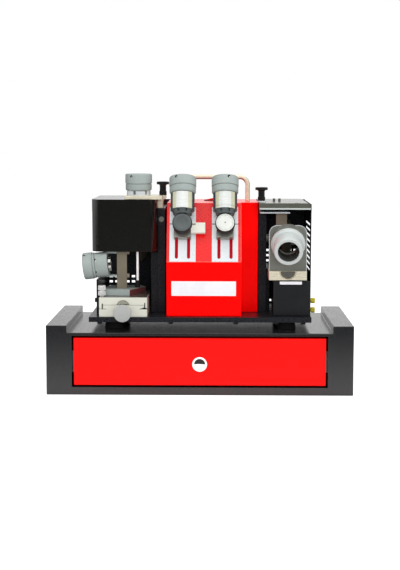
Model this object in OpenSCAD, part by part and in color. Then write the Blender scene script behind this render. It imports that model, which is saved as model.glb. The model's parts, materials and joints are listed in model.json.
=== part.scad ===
// Drill and end mill grinder with collet chucks, on a steel drawer cabinet.
// Origin: centre of the cabinet's footprint, on the floor. +Z up, the operator stands at -Y.

/* [Cabinet] */
// Width of the cabinet
cabinet_w = 600; // [580:5:680]
// Depth of the cabinet
cabinet_d = 290; // [285:5:340]
// Height of the deck that the machine stands on
deck_z = 122.7; // [118:0.1:140]
// Height of the side rails above the deck
rail_rise = 14.3; // [8:0.1:20]
// Width of each side rail
rail_w = 40.3; // [30:0.1:50]
// Thickness of the cabinet's sheet
cabinet_wall = 3; // [2:0.5:4]
// Width of the drawer front
drawer_w = 492; // [470:1:500]
// Height of the drawer front
drawer_h = 93; // [80:1:96]
// Height of the bottom rail under the drawer front
drawer_z = 19.5; // [16:0.1:22]
// Gap round the drawer front
drawer_gap = 4; // [2:0.5:5]
// Thickness of the drawer front
drawer_front_t = 14; // [10:1:18]
// Wall of the drawer box
drawer_wall = 2; // [1.5:0.5:3]
// Travel of the drawer
drawer_travel = 220; // [150:5:225]
// Diameter of the flush finger pull
pull_d = 29; // [26:1:34]
// How far the pull's centre lies below the drawer's centre
pull_drop = 5; // [0:1:10]

/* [Machine frame] */
// Length of the machine's base plate
plate_w = 440; // [430:5:470]
// Thickness of the base plate
plate_t = 9.9; // [8:0.1:12]
// Height of the rubber feet
foot_h = 15.4; // [10:0.1:20]
// Diameter of the rubber feet
foot_d = 40; // [30:1:46]
// Distance from the plate's end to a foot's centre
foot_inset = 49; // [40:1:60]
// Front edge of the base plate
plate_y0 = -105; // [-110:1:-104]
// Rear edge of the base plate
plate_y1 = 125; // [124:1:130]
// Height of the spindle axis above the base plate
spindle_rise = 148; // [140:1:150]
// Distance of the spindle axis behind the frame's centre
spindle_y = 20; // [15:1:25]
// Diameter of the spindle
spindle_d = 16; // [12:1:18]

/* [Housing] */
// Left side of the red housing
housing_x0 = -67; // [-67:0.5:-64]
// Right side of the gauge panel
panel_x1 = 82; // [80:0.5:84]
// Right side of the housing's rear part
housing_x1 = 116; // [108:1:116]
// Height of the housing above the base plate
housing_h = 223; // [218:1:225]
// Height of the upright front face
front_h = 108; // [100:1:112]
// Depth position of the upright front face
front_y = -90; // [-95:1:-86]
// Lean of the gauge panel from upright
panel_lean = 20; // [16:1:22]
// Thickness of the housing's sheet
sheet = 2; // [1.5:0.5:3]
// Diameter of the handle's rod
handle_d = 9.5; // [8:0.5:12]
// Rise of the handle over the housing
handle_rise = 49; // [40:1:60]
// Distance between the handle's legs
handle_span = 142; // [120:1:150]

/* [Chucks and gauges] */
// Diameter of a chuck's cap
cap_d = 53.5; // [50:0.5:55]
// Length of a chuck's cap
cap_len = 34; // [30:1:36]
// Diameter of a chuck's barrel
barrel_d = 41.5; // [38:0.5:44]
// Length of barrel between the cap and the socket
barrel_len = 32; // [28:1:36]
// Diameter of the nose that enters a socket
nose_d = 30; // [26:1:32]
// Length of the nose
nose_len = 11; // [9:1:12]
// Radial clearance of the chucks and of the knobs on their studs
fit = 0.3; // [0.2:0.05:0.4]
// Width of a gauge plate
gauge_w = 52; // [50:1:54]
// Thickness of a gauge plate
gauge_t = 4; // [3:0.5:5]
// Length of a gauge plate along the panel
gauge_len = 112; // [108:1:116]
// Spacing of the two slots in a gauge plate
slot_pitch = 24; // [22:1:26]
// Width of the slots
slot_w = 5.5; // [4.5:0.5:6.5]
// Diameter of a gauge's front knob
gauge_knob_d = 37; // [32:1:40]
// Travel of a gauge's slide down the slots
gauge_travel = 30; // [20:1:34]

/* [Left station] */
// Width of the cross slide
slide_w = 95; // [92:1:104]
// Length of the cross slide
slide_len = 130; // [110:5:140]
// Height of the slide's base under the dovetail
slide_base_h = 15; // [14:0.5:18]
// Height of the dovetail
dovetail_h = 8; // [6:0.5:10]
// Width of the dovetail at its root
dovetail_root = 66; // [60:1:68]
// Angle of the dovetail's flanks
dovetail_angle = 55; // [50:1:60]
// Height of the saddle over the slide's base
saddle_h = 23.5; // [20:0.5:26]
// Travel of the saddle each way
saddle_travel = 12; // [8:1:14]
// Diameter of the slide's knob
slide_knob_d = 34; // [28:1:36]
// Diameter of the lead screw
lead_d = 8; // [6:1:10]
// Height of the wheel guard
guard_h = 104; // [96:1:105]
// Width of the wheel guard
guard_w = 131; // [124:1:132]
// Front of the wheel guard
guard_y0 = -70; // [-72:1:-68]
// Corner radius of the wheel guard
guard_r = 12; // [8:1:16]
// Radius of the left grinding wheel
wheel_left_r = 50; // [44:1:52]
// Tilt of the side chuck
side_tilt = 6.2; // [4:0.1:7]

/* [Right station] */
// Width of the drill port's plate
port_w = 75; // [70:1:78]
// Height of the drill port's plate
port_h = 91; // [84:1:94]
// Downward tilt of the port's sleeve
port_tilt = 15; // [12:1:20]
// Outer diameter of the graduated ring
ring_d = 68; // [62:1:70]
// Outer diameter of the sleeve
sleeve_d = 57; // [52:1:60]
// Length of the sleeve in front of the ring
sleeve_len = 33; // [24:1:36]
// Bore of the port
port_bore = 41.9; // [41.6:0.1:46]
// Radius of the right grinding wheel
wheel_right_r = 39; // [34:1:42]
// Width of the dust box's front
dust_w = 72.5; // [68:0.5:73]
// Height of the dust box
dust_h = 69.5; // [60:0.5:71]
// Travel of the dust box
dust_travel = 110; // [80:5:120]
// Number of louvres in each row of the side cover
louvres = 9; // [6:1:9]
// Pitch of the louvres
louvre_pitch = 11.3; // [10:0.1:11.5]

/* [Hidden] */
$fn = 48;

steel = "#c8cac8";
black = "#26282a";
red = "#f02010";
grey = "#939c97";
zinc = "#c9c3a4";

// Cabinet and deck
cab_x = cabinet_w / 2;
cab_y = cabinet_d / 2;
opening_x = drawer_w / 2 + drawer_gap;
front_frame = 16;
runner_t = 12.7;
box_x = opening_x - runner_t - fit;
box_y0 = -cab_y + drawer_front_t + 1;
box_len = cabinet_d - drawer_front_t - 32;
box_z0 = drawer_z + 6.5;
box_h = 74;
runner_z = box_z0 + box_h / 2;
runner_h = 42;
channel_t = 1.5;
pull_z = drawer_z + drawer_h / 2 - pull_drop;

// Machine frame
plate_z0 = deck_z + foot_h;
top_z = plate_z0 + plate_t;
plate_x = plate_w / 2;
rear_y = 113;
spindle_z = top_z + spindle_rise;
housing_top = top_z + housing_h;
bearing_d = 40;
bearing_t = 10;
motor_d = 104;
column_gap = 3;
column_t = 15;
column_l_x1 = housing_x0 - column_gap - 1;
column_l_x0 = column_l_x1 - column_t;
column_r_x0 = housing_x1 + 1;
column_r_x1 = column_r_x0 + column_t + 1;
rib_x1 = column_r_x1 + 8;
column_l_top = top_z + 212;

// Sloping panel and gauges
panel_z = top_z + front_h;
recess_y = -25;
gauge_x = [-35, 49];
chuck_n = 28;
slot_u0 = 6;
slot_u1 = 84;
slide_u0 = 45;
slide_u1 = 84;
slide_half = 17;
slide_n = 22;
knob_u = 69.5;
knob_n0 = 28;
knob_n1 = 43;
nose_u = 89;
barrel_u = nose_u + nose_len;
switch_at = [23, 50];

// Left station
slide_x = -152.5;
slide_y0 = -100;
saddle_z0 = top_z + slide_base_h;
saddle_top = saddle_z0 + saddle_h;
dove_top = dovetail_root / 2 + dovetail_h / tan(dovetail_angle);
lead_z = top_z + 9;
guard_x0 = column_l_x0 - 0.3 - guard_w;
guard_z0 = top_z + 126.5;
guard_top = guard_z0 + guard_h;
block_t = 12.4;
block_top = saddle_top + block_t;
top_x = -124.5;
top_y = -33;
bracket_t = 7;
bracket_top = guard_top + bracket_t;
crown_h = 9;
cap_gap = 0.8;
groove_z = 13.5;
short_barrel = 20;
side_at = [-209.5, -55, top_z + 98.2];
side_cap_len = 25;
port_len = 24.6;
side_port_d = 50;
bore_d = 13;
sleeve_top = 131.5;
setting_d = 47.6;

// Right station
cover_top = housing_top + 1;
cover_x1 = 218.5;
cover_h = 12.5;
side_x1 = cover_x1 + 1.5;
feed_right_x = column_r_x0 + 5.4;
feed_boss = 2.5;
port_x = 174;
port_y = -77;
port_t = 6;
port_z = top_z + 147.5;
block_h = 18;
feed_z = top_z + 203;
dust_z0 = top_z + 0.5;
port_z0 = dust_z0 + dust_h + 1.6;
plate_port_z0 = port_z0 + block_h;
ring_s0 = ring_d / 2 * tan(port_tilt) + 0.5;
ring_t = 9;
dust_x1 = 218;

// Places children on the sloping panel: x across, -y out of the panel, z up the slope
module on_panel() {
  translate([0, front_y, panel_z]) rotate([-panel_lean, 0, 0]) children();
}

// Cylinder along +X from x0 to x1
module bar_x(x0, x1, d) {
  translate([x0, 0, 0]) rotate([0, 90, 0]) cylinder(h = x1 - x0, d = d);
}

// Cylinder along Y from y0 forward to y1, where y1 is nearer the operator
module bar_y(y0, y1, d) {
  translate([0, y0, 0]) rotate([90, 0, 0]) cylinder(h = y0 - y1, d = d);
}

// Rectangle with four round corners, from its low corner
module round_rect(w, d, r) {
  translate([r, 0]) square([w - 2 * r, d]);
  translate([0, r]) square([w, d - 2 * r]);
  for (x = [r, w - r], y = [r, d - r]) translate([x, y]) circle(r);
}

// Outline in depth and height, extruded from x0 to x1
module side_block(x0, x1, outline) {
  translate([x0, 0, 0]) rotate([90, 0, 90]) linear_extrude(x1 - x0) polygon(outline);
}

// Box between two corners
module span(low, high) {
  translate(low) cube(high - low);
}

module cabinet_shell() color(black) difference() {
  union() {
    span([-cab_x, -cab_y, 0], [cab_x, cab_y, deck_z]);
    for (side = [0, 1]) mirror([side, 0, 0])
      span([cab_x - rail_w, -cab_y, 0], [cab_x, cab_y, deck_z + rail_rise]);
  }
  span([-opening_x, -cab_y - 1, drawer_z - drawer_gap],
    [opening_x, -cab_y + front_frame + 1, drawer_z + drawer_h + drawer_gap]);
  span([-opening_x, -cab_y + front_frame, cabinet_wall],
    [opening_x, cab_y - cabinet_wall, deck_z - cabinet_wall]);
}

module drawer_box() color("#9a9d9f") difference() {
  span([-box_x, box_y0, box_z0], [box_x, box_y0 + box_len, box_z0 + box_h]);
  span([-box_x + drawer_wall, box_y0 + drawer_wall, box_z0 + drawer_wall],
    [box_x - drawer_wall, box_y0 + box_len - drawer_wall, box_z0 + box_h + 1]);
}

module drawer_front() color(red) difference() {
  span([-drawer_w / 2, box_y0 - drawer_front_t, drawer_z], [drawer_w / 2, box_y0, drawer_z + drawer_h]);
  translate([0, 0, pull_z]) bar_y(box_y0 + 1, -cab_y - 1, pull_d - 3);
}

module drawer_pull() color("#dddddd") translate([0, box_y0 - drawer_front_t, pull_z]) rotate([90, 0, 0]) {
  rotate_extrude() polygon([[0, -11], [pull_d / 2 - 1.6, -11], [pull_d / 2 - 1.6, 0], [pull_d / 2, 0],
    [pull_d / 2 - 0.5, 0.8], [pull_d / 2 - 3.2, 0.8], [pull_d / 2 - 4, 0], [pull_d / 2 - 4, -10], [0, -10]]);
}

module runner_outer() color(steel) for (side = [0, 1]) mirror([side, 0, 0])
  translate([opening_x, box_y0 + box_len, runner_z]) rotate([90, 0, 0]) linear_extrude(box_len - 6)
    difference() {
      translate([-9, -runner_h / 2]) square([9, runner_h]);
      translate([-9 + channel_t, -runner_h / 2 + channel_t])
        square([9 - 2 * channel_t, runner_h - 2 * channel_t]);
      translate([-10, -runner_h / 3]) square([5, runner_h * 2 / 3]);
    }

module runner_inner() color(steel) for (side = [0, 1]) mirror([side, 0, 0])
  translate([box_x, box_y0 + box_len, runner_z]) rotate([90, 0, 0]) linear_extrude(box_len - 4) {
    translate([0, -runner_h / 2]) square([2, runner_h]);
    translate([2, -runner_h / 3 + fit]) square([runner_t - channel_t - 2 - fit, runner_h * 2 / 3 - 2 * fit]);
  }

screw_x = [-plate_x + 21, -58, 71, 151, plate_x - 16];
module base_plate() color(black) difference() {
  span([-plate_x, plate_y0, plate_z0], [plate_x, plate_y1, top_z]);
  for (x = screw_x) translate([x, plate_y0 + 7, plate_z0 - 1]) cylinder(h = plate_t + 2, d = 6.4);
}

module rubber_feet() color("#1a1a1a") for (x = [-plate_x + foot_inset, plate_x - foot_inset], y = [-72, 92])
  translate([x, y, deck_z]) cylinder(h = foot_h, d1 = foot_d, d2 = foot_d - 4);

module base_screws() color(steel) for (x = screw_x) translate([x, plate_y0 + 7, plate_z0]) {
  translate([0, 0, -4]) cylinder(h = 4, d = 10);
  cylinder(h = plate_t - 1, d = 6);
}

module spindle_cut(x0, x1, d) translate([0, spindle_y, spindle_z]) bar_x(x0, x1, d);

module column_left() color(black) difference() {
  union() {
    span([column_l_x0, -42, top_z], [column_l_x1, 108, column_l_top]);
    span([column_l_x0 - 14, -35, top_z], [column_l_x0, 108, guard_z0 - 3]);
    span([column_l_x0, -46, column_l_top - 34], [column_l_x1, -42, column_l_top - 2]);
  }
  spindle_cut(column_l_x0 - 20, column_l_x1 + 1, bearing_d + 0.04);
  translate([(column_l_x0 + column_l_x1) / 2, 0, column_l_top - 22]) bar_y(-36, -50, 7);
}

module column_right() color(black) difference() {
  union() {
    span([column_r_x0, -28, top_z], [column_r_x1, 108, cover_top - cover_h]);
    span([column_r_x1, -10, top_z], [rib_x1, 108, plate_port_z0 - 2]);
    span([column_r_x0 + 2, -68, feed_z], [178, -20, feed_z + 3]);
    span([152, -34, feed_z - 26], [174, -30, feed_z]);
  }
  spindle_cut(column_r_x0 - 1, rib_x1 + 1, bearing_d + 0.04);
}

vent_w = 7;
vent_h = 4.6;
vent_pitch = [12, 11.1];
module vents(x0, z0, columns, rows) {
  for (i = [0 : columns - 1], j = [0 : rows - 1])
    span([x0 + i * vent_pitch[0], rear_y - 1, z0 + j * vent_pitch[1]],
      [x0 + i * vent_pitch[0] + vent_w, rear_y + sheet + 1, z0 + j * vent_pitch[1] + vent_h]);
}

inlet_at = [24, top_z + 40];
module rear_panel() color(black) difference() {
  span([-206, rear_y, top_z], [side_x1, rear_y + sheet, housing_top]);
  vents(137, top_z + 89.8, 6, 3);
  vents(143, top_z + 4, 5, 1);
  vents(-198, top_z + 32.4, 5, 3);
  translate([inlet_at[0], rear_y, inlet_at[1]]) span([-13.7, -1, -10], [13.7, 9, 10]);
}

module power_inlet() color("#1a1a1a") difference() {
  union() {
    translate([inlet_at[0], rear_y, inlet_at[1]]) span([-13.5, -18, -9.8], [13.5, sheet, 9.8]);
    translate([inlet_at[0], rear_y, inlet_at[1]]) span([-24, sheet, -11.5], [24, sheet + 3, 11.5]);
  }
  translate([inlet_at[0], rear_y, inlet_at[1]]) span([-12, -14, -8.2], [12, 20, 8.2]);
}

// Outline of the housing in depth and height, drawn i inside the outer face
lean = tan(panel_lean);
function front_outline(i) = [[front_y + i, top_z - (i > 0 ? 1 : 0)],
  [front_y + i, panel_z + (i - i / cos(panel_lean)) / lean],
  [front_y + (housing_h - front_h - i) * lean + i / cos(panel_lean), housing_top - i],
  [rear_y + (i > 0 ? 1 : 0), housing_top - i], [rear_y + (i > 0 ? 1 : 0), top_z - (i > 0 ? 1 : 0)]];
function rear_outline(i) = [[recess_y + i, top_z - (i > 0 ? 1 : 0)], [recess_y + i, housing_top - i],
  [rear_y + (i > 0 ? 1 : 0), housing_top - i], [rear_y + (i > 0 ? 1 : 0), top_z - (i > 0 ? 1 : 0)]];

module housing() color(red) difference() {
  union() {
    side_block(housing_x0, panel_x1, front_outline(0));
    side_block(housing_x0, housing_x1, rear_outline(0));
  }
  side_block(housing_x0 + sheet, panel_x1 - sheet, front_outline(sheet));
  side_block(housing_x0 + sheet, housing_x1 - sheet, rear_outline(sheet));
  spindle_cut(housing_x0 - 1, housing_x1 + 1, bearing_d);
  translate([switch_at[0], switch_at[1], housing_top]) span([-14.2, -6.2, -5], [14.2, 6.2, 5]);
}

handle_r = 16;
module carry_handle() color(zinc) translate([25, switch_at[1], housing_top]) {
  for (side = [-1, 1]) translate([side * handle_span / 2, 0, 0]) {
    cylinder(h = handle_rise - handle_r, d = handle_d);
    translate([-side * handle_r, 0, handle_rise - handle_r]) rotate([90, 0, 0])
      rotate([0, 0, side > 0 ? 0 : 90]) rotate_extrude(angle = 90)
        translate([handle_r, 0]) circle(d = handle_d);
  }
  translate([0, 0, handle_rise]) bar_x(-handle_span / 2 + handle_r, handle_span / 2 - handle_r, handle_d);
}

module switch_body() color("#1a1a1a") translate([switch_at[0], switch_at[1], housing_top]) difference() {
  union() {
    span([-14, -6, -22], [14, 6, 0]);
    span([-17, -9, 0], [17, 9, 1.5]);
  }
  span([-13.4, -5.3, -9], [13.4, 5.3, 3]);
}

module switch_rocker() color("#e02020") translate([switch_at[0], switch_at[1] + 5, housing_top - 2.5])
  rotate([90, 0, 0]) linear_extrude(10) union() {
    circle(r = 5.5);
    polygon([[-12, 1.5], [0, 0], [12, 6], [12.4, 12.5], [0, 7.5], [-12.4, 5]]);
  }

module motor() color("#55585a") difference() {
  translate([0, spindle_y, spindle_z]) union() {
    bar_x(-38, 78, motor_d);
    bar_x(-50, -38, motor_d - 20);
    bar_x(78, 98, motor_d - 20);
  }
  spindle_cut(-60, 110, spindle_d + 0.1);
}

module motor_cradle() color(black) difference() {
  span([-30, spindle_y - 38, top_z], [78, spindle_y + 38, spindle_z - motor_d / 4]);
  spindle_cut(-60, 110, motor_d + 0.2);
}

wheel_left_x = -124;
wheel_right_x = 165;
module spindle() color(steel) translate([0, spindle_y, spindle_z])
  bar_x(wheel_left_x - 16, wheel_right_x + 34, spindle_d);

module bearings() color("#b5b8ba") for (x = [column_l_x0 + 2, column_r_x1 - 12]) difference() {
  spindle_cut(x, x + bearing_t, bearing_d);
  spindle_cut(x - 1, x + bearing_t + 1, spindle_d + 0.04);
}

module wheel(outline) translate([0, spindle_y, spindle_z]) rotate([0, 90, 0]) rotate_extrude() polygon(outline);

wheel_fit = spindle_d / 2 + 0.02;
module wheel_left() color("#4a4838") translate([wheel_left_x, 0, 0]) wheel([
  [wheel_fit, 0], [wheel_left_r, 0],
  [wheel_left_r, 3], [wheel_left_r - 14, 15], [wheel_fit, 15]]);

module wheel_right() color("#4a4838") translate([wheel_right_x, 0, 0]) wheel([
  [wheel_fit, 0], [wheel_right_r - 3, 0],
  [wheel_right_r, 3], [wheel_right_r, 16], [wheel_right_r - 3, 19], [wheel_fit, 19]]);

nut_t = 12;
module wheel_nuts() color(steel) for (x = [wheel_left_x - nut_t, wheel_right_x + 19]) difference() {
  translate([x, spindle_y, spindle_z]) rotate([0, 90, 0]) cylinder(h = nut_t, d = 30, $fn = 6);
  spindle_cut(x - 1, x + nut_t + 1, 2 * wheel_fit);
}

module gauge_plates() color("#d4d8d8") on_panel() for (x = gauge_x) translate([x, 0, 0]) difference() {
  span([-gauge_w / 2, -gauge_t, 0], [gauge_w / 2, 0, gauge_len]);
  for (side = [-1, 1]) translate([side * slot_pitch / 2, 0, 0]) {
    span([-slot_w / 2, -gauge_t - 1, slot_u0 + slot_w / 2], [slot_w / 2, 1, slot_u1]);
    translate([0, 0, slot_u0 + slot_w / 2]) bar_y(1, -gauge_t - 1, slot_w);
  }
}

module gauge_sockets() color("#5c605e") on_panel() for (x = gauge_x) translate([x, 0, 0]) difference() {
  union() {
    translate([0, -chuck_n, nose_u]) cylinder(h = 9, d1 = nose_d + 6, d2 = nose_d + 12);
    translate([0, -chuck_n, nose_u + 9]) cylinder(h = sleeve_top - nose_u - 9, d = setting_d);
    span([-9, -chuck_n + 10, nose_u], [9, -gauge_t, gauge_len]);
  }
  translate([0, -chuck_n, nose_u - 1]) cylinder(h = 12, d = nose_d + 2 * fit);
  translate([0, -chuck_n, barrel_u - fit]) cylinder(h = barrel_len + 5, d = barrel_d + 2 * fit);
  for (turn = [0 : 45 : 315]) translate([0, -chuck_n, nose_u]) rotate([0, 0, turn + 22.5])
    span([nose_d / 2 + 1.8, -2, 3], [nose_d / 2 + 8, 2, 9]);
}

slide_fit = 0.1;
module gauge_slide(x) color("#9fa5a5") on_panel() translate([x, 0, 0]) {
  span([-slide_half, -slide_n, slide_u0], [slide_half, -gauge_t - slide_fit, slide_u1]);
  for (side = [-1, 1]) translate([side * slot_pitch / 2, 0, 0])
    span([-slot_w / 2 + fit, -gauge_t - slide_fit, slide_u0 + 4], [slot_w / 2 - fit, -0.4, slide_u1 - 4]);
  translate([0, 0, knob_u]) bar_y(-slide_n, -knob_n0 - 6, 8);
}

module gauge_slide_left() {
  gauge_slide(gauge_x[0]);
  color("#e4e0d0") on_panel() translate([gauge_x[0], 0, 0]) span([slide_half, -20, 55], [45, -10, 76]);
}

module gauge_slide_right() gauge_slide(gauge_x[1]);

module gauge_knob(x) color("#4a4e4c") on_panel() translate([x, 0, knob_u]) difference() {
  union() {
    bar_y(-slide_n - fit, -knob_n0, 16);
    bar_y(-knob_n0, -knob_n1, gauge_knob_d);
  }
  bar_y(0, -knob_n0 - 6 - fit, 8 + 2 * fit);
}

module gauge_knob_left() gauge_knob(gauge_x[0]);

module gauge_knob_right() gauge_knob(gauge_x[1]);

// Barrel and nose, from the cap's face at the origin down to -Z
module chuck_body(barrel, cap) color(steel) difference() {
  union() {
    translate([0, 0, -barrel]) cylinder(h = barrel, d = barrel_d);
    translate([0, 0, -barrel - nose_len]) cylinder(h = nose_len, d = nose_d);
    cylinder(h = cap - 10, d = nose_d);
  }
  translate([0, 0, -barrel - nose_len - 1]) cylinder(h = barrel + nose_len + cap, d = bore_d);
}

// Cap from its lower face up, with a groove and two pin holes
module chuck_cap(cap, groove) color(grey) difference() {
  rotate_extrude() polygon([[nose_d / 2 + fit, cap_gap], [cap_d / 2 - 2.5, cap_gap],
    [cap_d / 2 - 0.6, cap_gap + 2.5], [cap_d / 2 - 0.6, groove], [cap_d / 2 - 2, groove + 0.4],
    [cap_d / 2 - 2, groove + 1.4], [cap_d / 2, groove + 1.8], [cap_d / 2, cap - 2], [cap_d / 2 - 2, cap],
    [9, cap], [8, cap - 1], [8, cap - 8], [nose_d / 2 + fit, cap - 8]]);
  for (turn = [0 : 60 : 300]) translate([0, 0, cap - 5]) rotate([0, 0, turn - 60])
    bar_x(cap_d / 2 - 6, cap_d, 3.4);
}

module at_gauge(x) on_panel() translate([x, -chuck_n, barrel_u + barrel_len]) children();

module at_top() translate([top_x, top_y, bracket_top + crown_h]) children();

module at_side() translate(side_at) rotate([0, -90 - side_tilt, 0]) children();

module chuck_body_left() at_gauge(gauge_x[0]) chuck_body(barrel_len, cap_len);
module chuck_cap_left() at_gauge(gauge_x[0]) chuck_cap(cap_len, groove_z);
module chuck_body_right() at_gauge(gauge_x[1]) chuck_body(barrel_len, cap_len);
module chuck_cap_right() at_gauge(gauge_x[1]) chuck_cap(cap_len, groove_z);
module chuck_body_top() at_top() chuck_body(short_barrel, cap_len);
module chuck_cap_top() at_top() chuck_cap(cap_len, groove_z);
module chuck_body_side() at_side() chuck_body(short_barrel, side_cap_len);
module chuck_cap_side() at_side() chuck_cap(side_cap_len, groove_z - cap_len + side_cap_len);

// Cross slide
slide_half_w = slide_w / 2;
screw_slot = lead_d + 6;
module slide_base() color("#d3d3c8") translate([slide_x, slide_y0, top_z]) difference() {
  translate([0, slide_len, 0]) rotate([90, 0, 0]) linear_extrude(slide_len) polygon([
    [-slide_half_w, 0], [slide_half_w, 0], [slide_half_w, slide_base_h], [dovetail_root / 2, slide_base_h],
    [dove_top, slide_base_h + dovetail_h], [-dove_top, slide_base_h + dovetail_h],
    [-dovetail_root / 2, slide_base_h], [-slide_half_w, slide_base_h]]);
  span([-screw_slot / 2, 8, 3], [screw_slot / 2, slide_len + 1, slide_base_h + dovetail_h + 1]);
  translate([0, 0, lead_z - top_z]) bar_y(9, -1, lead_d + 0.1);
}

gib_gap = 0.3;
saddle_y0 = slide_y0;
saddle_y1 = slide_y0 + slide_len - 14;
pocket_h = dovetail_h + 0.6;
module saddle() color("#d7d7cd") difference() {
  union() {
    translate([slide_x, saddle_y1, saddle_z0]) rotate([90, 0, 0]) linear_extrude(saddle_y1 - saddle_y0)
      difference() {
        translate([-slide_half_w, 0.3]) square([slide_w, saddle_h - 0.3]);
        translate([-dove_top - 3.4, 0]) square([2 * dove_top + 6.8, pocket_h]);
      }
    translate([slide_x, 0, 0])
      span([-screw_slot / 2 + 1, -70, top_z + 4], [screw_slot / 2 - 1, -46, saddle_z0 + pocket_h]);
  }
  translate([slide_x, 0, lead_z]) bar_y(-40, -80, lead_d + 0.1);
  translate([slide_x, 0, saddle_z0 + 4.5]) bar_y(saddle_y0 + 14, saddle_y0 - 1, 27);
}

module gib_strips() color("#b8b8ae") for (side = [0, 1]) translate([slide_x, saddle_y1, saddle_z0])
  mirror([side, 0, 0]) rotate([90, 0, 0]) linear_extrude(saddle_y1 - saddle_y0) polygon([
    [dovetail_root / 2 + gib_gap, gib_gap], [dove_top + 3, gib_gap], [dove_top + 3, dovetail_h],
    [dove_top + gib_gap, dovetail_h]]);

module slide_knob() color("#bfc1be") translate([slide_x, 0, lead_z]) {
  bar_y(slide_y0 + slide_len - 12, slide_y0 - 9, lead_d);
  bar_y(slide_y0 - 9, slide_y0 - 21, slide_knob_d);
}

module holder_block() color("#b1b7b3") translate([0, 0, saddle_top]) linear_extrude(block_t)
  polygon([[-190, -72], [-141, -75], [-112, -18], [-124, 6], [-184, 6], [-193, -30]]);

module post_bar() color("#69675b") {
  span([-168, -52, block_top], [-148, -46, guard_z0 + 50]);
  for (z = [76.5, 124]) translate([0, -49, top_z + z]) bar_x(-148, -143, 9);
}

module guide_rod() color("#f0f1eb") translate([-127.5, -35, block_top]) {
  cylinder(h = guard_z0 + 46 - block_top, d = 5);
  cylinder(h = 14.5, d = 10);
}

module side_port() color(grey) difference() {
  union() {
    at_side() translate([0, 0, -port_len]) cylinder(h = port_len, d = side_port_d);
    for (z = [top_z + 74.8, top_z + 122]) span([-190, -58, z], [-168, -44, z + 4]);
  }
  at_side() translate([0, 0, -port_len - 1]) cylinder(h = port_len + 2, d = barrel_d + 2 * fit);
  at_side() for (turn = [0 : 60 : 300]) rotate([0, 0, turn])
    span([side_port_d / 2 - 5, -3, -2.5], [cap_d, 3, 1]);
}

module lock_nuts() color("#e0e0e0") translate([slide_x - slide_half_w + 4, -80, saddle_top]) {
  cylinder(h = 2, d = 8);
  translate([0, 0, 2]) cylinder(h = 9, d = 15);
  translate([0, 0, 11]) cylinder(h = 1.5, d = 8);
  translate([0, 0, 12.5]) cylinder(h = 9, d = 15);
}

module side_plate() color(black) {
  span([-209, -58, top_z], [-205.3, 110, top_z + 69.5]);
  for (y = [-50, 90]) translate([0, y, top_z + 27]) bar_x(-213, -209, 9);
}

module wheel_guard() color("#1b1b19") difference() {
  translate([guard_x0, guard_y0, guard_z0]) linear_extrude(guard_h)
    round_rect(guard_w, rear_y - 0.3 - guard_y0, guard_r);
  translate([guard_x0 + sheet, guard_y0 + sheet, guard_z0 - 1]) linear_extrude(guard_h + 1 - sheet)
    round_rect(guard_w - 2 * sheet, rear_y - 0.3 - guard_y0 - 2 * sheet, guard_r - sheet);
  spindle_cut(guard_x0 + guard_w - 5, guard_x0 + guard_w + 5, spindle_d + 8);
  translate([top_x, top_y, guard_z0]) cylinder(h = guard_h + 1, d = barrel_d + 2);
}

module top_bracket() color(zinc) difference() {
  union() {
    span([-151, -66, guard_top], [column_l_x1 - 5, 6, bracket_top]);
    span([-100, -40, guard_top], [column_l_x1 + 1, 6, bracket_top]);
    span([column_l_x0, -42, column_l_top], [column_l_x1 - 5, 6, guard_top]);
  }
  translate([top_x, top_y, guard_top - 1]) cylinder(h = bracket_t + 2, d = barrel_d + 2 * fit);
}

module top_socket() color("#c3c3b4") translate([top_x, top_y, bracket_top]) difference() {
  cylinder(h = crown_h, d = cap_d - 6);
  translate([0, 0, -1]) cylinder(h = crown_h + 2, d = barrel_d + 2 * fit);
  for (turn = [0 : 60 : 300]) rotate([0, 0, turn + 12])
    span([cap_d / 2 - 9, -2.5, 2], [cap_d, 2.5, crown_h + 1]);
}

module feed_knob() rotate_extrude() polygon([[0, 0], [7.5, 0], [7.5, 7.5], [6.5, 8], [6.5, 19], [8, 21],
  [12.5, 21.5], [12.5, 26.5], [10, 27], [0, 26]]);

module feed_knob_left() color(black) translate([column_l_x1 - 5.1, -26, bracket_top + fit]) feed_knob();

module feed_knob_right() color(black)
  translate([feed_right_x, -28, cover_top + feed_boss + fit]) feed_knob();

module top_cover() color("#3c3e3a") difference() {
  union() {
    span([column_r_x0, -77, cover_top - cover_h], [cover_x1, rear_y - 0.3, cover_top]);
    translate([feed_right_x, -28, cover_top]) cylinder(h = feed_boss, d = 17);
  }
  span([column_r_x0 + sheet, -77 + sheet, cover_top - cover_h - 1],
    [cover_x1 - sheet, rear_y + 1, cover_top - sheet]);
  translate([184, -70, cover_top - sheet - 1]) cylinder(h = 5, r = 6, $fn = 3);
}

slot_y0 = -52;
slot_y1 = 62;
slot_h = 4.5;
module side_cover() color(black) difference() {
  span([cover_x1 + fit, -75, top_z], [side_x1, rear_y - 0.3, cover_top - 2]);
  for (i = [0 : louvres - 1]) translate([0, 0, top_z + 89.7 + i * louvre_pitch]) {
    span([cover_x1, slot_y0, -slot_h / 2], [side_x1 + 1, slot_y1, slot_h / 2]);
    for (y = [slot_y0, slot_y1]) translate([0, y, 0]) bar_x(cover_x1, side_x1 + 1, slot_h);
  }
}

// Inclined axis of the drill port, pointing at the operator
module at_port() translate([port_x, port_y, port_z]) rotate([90 + port_tilt, 0, 0]) children();

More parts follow.
